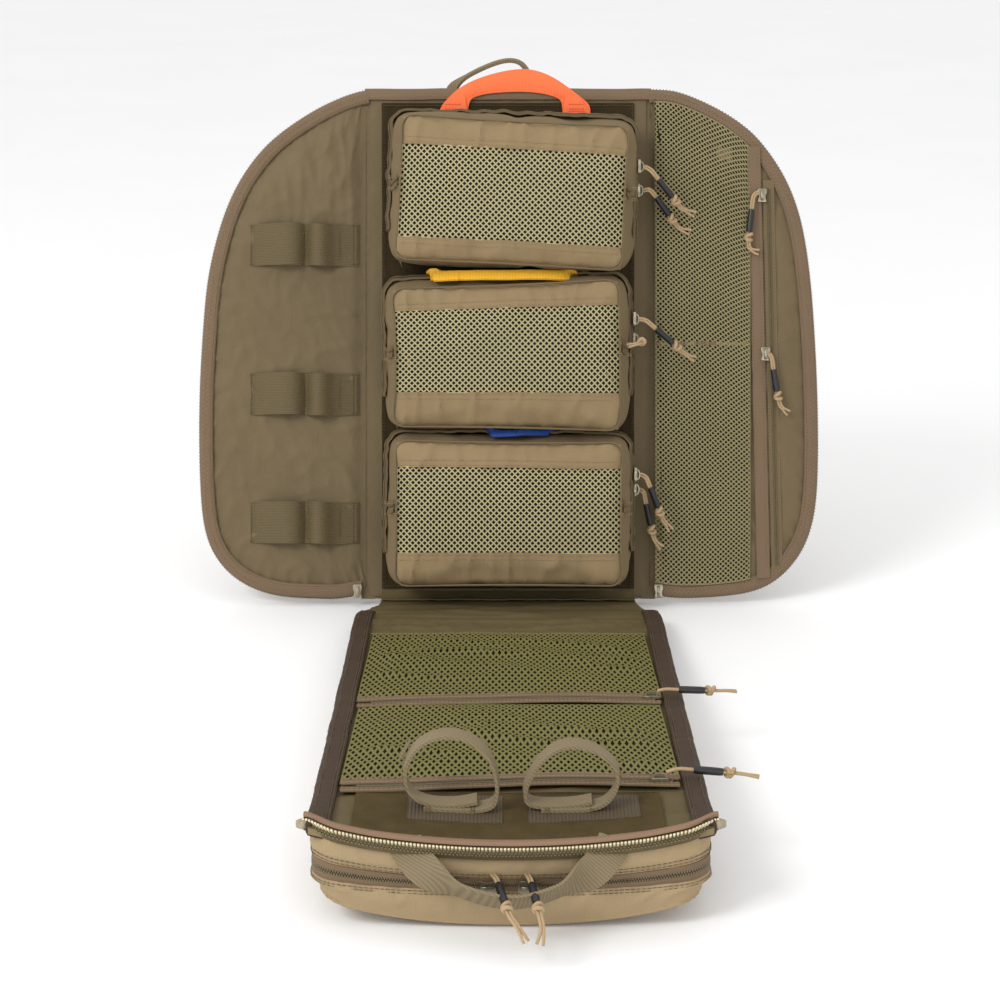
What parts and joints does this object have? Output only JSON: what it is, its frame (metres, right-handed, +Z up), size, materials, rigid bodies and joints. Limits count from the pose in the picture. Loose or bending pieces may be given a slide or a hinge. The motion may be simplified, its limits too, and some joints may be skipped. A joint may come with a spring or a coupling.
{
  "type": "trauma backpack",
  "caption": "Clamshell medical backpack laid open: back panel with removable mesh-window pouches, two folding wings with loops and a mesh pocket, and a front flap with a zipped compartment.",
  "frame": {"origin": "middle of the footprint on the floor", "axes": "+X to the right seen from the open front, +Y backwards, +Z up; the pack stands laid open"},
  "size_m": [0.594, 0.9309, 0.4983],
  "materials": {
    "lining_nylon": "coated nylon, low sheen",
    "pack_cloth": "coarse matt nylon",
    "stiffener": "polyethylene sheet",
    "loop_fabric": "brushed loop pile",
    "binding": "woven tape",
    "pad_mesh": "spacer mesh",
    "strap_fabric": "padded nylon",
    "webbing": "woven webbing",
    "elastic": "ribbed elastic",
    "buckle_plastic": "acetal",
    "mesh": "open knitted mesh",
    "zip_coil": "nylon coil and tape",
    "slider_metal": "plated zinc",
    "pull_cord": "braided cord",
    "orange_webbing": "woven webbing",
    "yellow_webbing": "woven webbing",
    "blue_webbing": "woven webbing"
  },
  "bodies": {
    "back_panel": {"back_shell": "pack_cloth", "frame_sheet": "stiffener", "panel_lining": "lining_nylon", "loop_field": "loop_fabric", "top_binding": "binding", "back_pads": "pad_mesh", "shoulder_straps": "strap_fabric", "strap_webbing": "webbing", "ladder_locks": "buckle_plastic", "hip_belt": "strap_fabric"},
    "carry_handle": {"carry_handle": "webbing"},
    "left_wing": {"left_wing_panel": "lining_nylon", "left_wing_binding": "binding", "elastic_loops": "elastic"},
    "right_wing": {"right_wing_panel": "lining_nylon", "right_wing_binding": "binding", "wing_mesh_pocket": "mesh", "wing_pocket_zip": "zip_coil"},
    "main_slider_left": {"main_slider_left": "slider_metal"},
    "main_slider_right": {"main_slider_right": "slider_metal"},
    "wing_slider_upper": {"wing_slider_upper": "slider_metal", "wing_pull_upper": "pull_cord"},
    "wing_slider_lower": {"wing_slider_lower": "slider_metal", "wing_pull_lower": "pull_cord"},
    "base_panel": {"base_panel": "lining_nylon"},
    "front_panel": {"front_panel": "lining_nylon", "flap_side_bindings": "binding", "far_mesh_pocket": "mesh", "near_mesh_pocket": "mesh", "flap_pocket_zips": "zip_coil", "loop_band": "webbing", "webbing_loops": "webbing", "rim_zip": "zip_coil", "compartment_gusset": "pack_cloth", "compartment_zip": "zip_coil"},
    "front_lid": {"front_lid": "pack_cloth"},
    "flap_handle": {"flap_handle": "webbing"},
    "far_pocket_slider": {"far_pocket_slider": "slider_metal", "far_pocket_pull": "pull_cord"},
    "near_pocket_slider": {"near_pocket_slider": "slider_metal", "near_pocket_pull": "pull_cord"},
    "compartment_slider_left": {"compartment_slider_left": "slider_metal", "compartment_pull_left": "pull_cord"},
    "compartment_slider_right": {"compartment_slider_right": "slider_metal", "compartment_pull_right": "pull_cord"},
    "top_pouch": {"top_pouch": "pack_cloth", "top_pouch_window": "mesh"},
    "top_pouch_sliders": {"top_pouch_sliders": "slider_metal", "top_pouch_pulls": "pull_cord"},
    "middle_pouch": {"middle_pouch": "pack_cloth", "middle_pouch_window": "mesh", "middle_pouch_handle": "yellow_webbing"},
    "middle_pouch_sliders": {"middle_pouch_sliders": "slider_metal", "middle_pouch_pulls": "pull_cord"},
    "bottom_pouch": {"bottom_pouch": "pack_cloth", "bottom_pouch_window": "mesh", "bottom_pouch_handle": "blue_webbing"},
    "bottom_pouch_sliders": {"bottom_pouch_sliders": "slider_metal", "bottom_pouch_pulls": "pull_cord"},
    "top_pouch_handle": {"top_pouch_handle": "orange_webbing"}
  },
  "joints": [
    {"name": "left_wing_fold", "type": "hinge", "parent": "back_panel", "child": "left_wing", "pos_m": [-0.1344, 0.26365, 0.008], "axis": [0, -0.2924, -0.9563], "range_deg": [-84, 0]},
    {"name": "right_wing_fold", "type": "hinge", "parent": "back_panel", "child": "right_wing", "pos_m": [0.1344, 0.26365, 0.008], "axis": [0, 0.2924, 0.9563], "range_deg": [-84, 0], "deforming": ["top_pouch_pulls", "middle_pouch_pulls", "bottom_pouch_pulls"]},
    {"name": "base_fold", "type": "hinge", "parent": "back_panel", "child": "base_panel", "pos_m": [0, 0.26365, 0.008], "axis": [1, 0, 0], "range_deg": [-11.5, 0]},
    {"name": "front_fold", "type": "hinge", "parent": "base_panel", "child": "front_panel", "pos_m": [0, 0.09742, 0.02401], "axis": [1, 0, 0], "range_deg": [-90, 0]},
    {"name": "front_lid_hinge", "type": "hinge", "parent": "front_panel", "child": "front_lid", "pos_m": [0, 0.063, 0.01085], "axis": [-1, 0, 0], "range_deg": [-45, 0]},
    {"name": "carry_handle_swing", "type": "hinge", "parent": "back_panel", "child": "carry_handle", "pos_m": [-0.019, 0.41772, 0.45551], "axis": [1, 0, 0], "range_deg": [-85, 0]},
    {"name": "flap_handle_swing", "type": "hinge", "parent": "front_panel", "child": "flap_handle", "pos_m": [0, -0.41158, 0.05895], "axis": [1, 0, 0], "range_deg": [-32, 0]},
    {"name": "main_slider_left_slide", "type": "slide", "parent": "left_wing", "child": "main_slider_left", "axis": [-1, 0, 0], "range_m": [0, 0.045]},
    {"name": "main_slider_right_slide", "type": "slide", "parent": "right_wing", "child": "main_slider_right", "axis": [1, 0, 0], "range_m": [0, 0.045]},
    {"name": "wing_slider_upper_slide", "type": "slide", "parent": "right_wing", "child": "wing_slider_upper", "axis": [-0.0216, 0.2923, 0.9561], "range_m": [-0.12, 0]},
    {"name": "wing_slider_lower_slide", "type": "slide", "parent": "right_wing", "child": "wing_slider_lower", "axis": [-0.0216, 0.2923, 0.9561], "range_m": [-0.17, 0]},
    {"name": "far_pocket_slider_slide", "type": "slide", "parent": "front_panel", "child": "far_pocket_slider", "axis": [1, 0, 0], "range_m": [-0.2, 0]},
    {"name": "near_pocket_slider_slide", "type": "slide", "parent": "front_panel", "child": "near_pocket_slider", "axis": [1, 0, 0], "range_m": [-0.2, 0]},
    {"name": "compartment_slider_left_slide", "type": "slide", "parent": "front_panel", "child": "compartment_slider_left", "axis": [-1, 0, 0], "range_m": [0, 0.034], "deforming": ["compartment_pull_left"]},
    {"name": "compartment_slider_right_slide", "type": "slide", "parent": "front_panel", "child": "compartment_slider_right", "axis": [1, 0, 0], "range_m": [0, 0.034], "deforming": ["compartment_pull_right"]},
    {"name": "top_pouch_pull_off", "type": "slide", "parent": "back_panel", "child": "top_pouch", "axis": [0, -0.9563, 0.2924], "range_m": [0, 0.12]},
    {"name": "top_pouch_zip", "type": "slide", "parent": "top_pouch", "child": "top_pouch_sliders", "axis": [0, 0.2924, 0.9563], "range_m": [-0.055, 0]},
    {"name": "middle_pouch_pull_off", "type": "slide", "parent": "back_panel", "child": "middle_pouch", "axis": [0, -0.9563, 0.2924], "range_m": [0, 0.12]},
    {"name": "middle_pouch_zip", "type": "slide", "parent": "middle_pouch", "child": "middle_pouch_sliders", "axis": [0, 0.2924, 0.9563], "range_m": [-0.055, 0]},
    {"name": "bottom_pouch_pull_off", "type": "slide", "parent": "back_panel", "child": "bottom_pouch", "axis": [0, -0.9563, 0.2924], "range_m": [0, 0.12]},
    {"name": "bottom_pouch_zip", "type": "slide", "parent": "bottom_pouch", "child": "bottom_pouch_sliders", "axis": [0, 0.2924, 0.9563], "range_m": [-0.055, 0]},
    {"name": "top_handle_swing", "type": "hinge", "parent": "top_pouch", "child": "top_pouch_handle", "pos_m": [0.004, 0.39625, 0.45266], "axis": [1, 0, 0], "range_deg": [0, 60]}
  ]
}
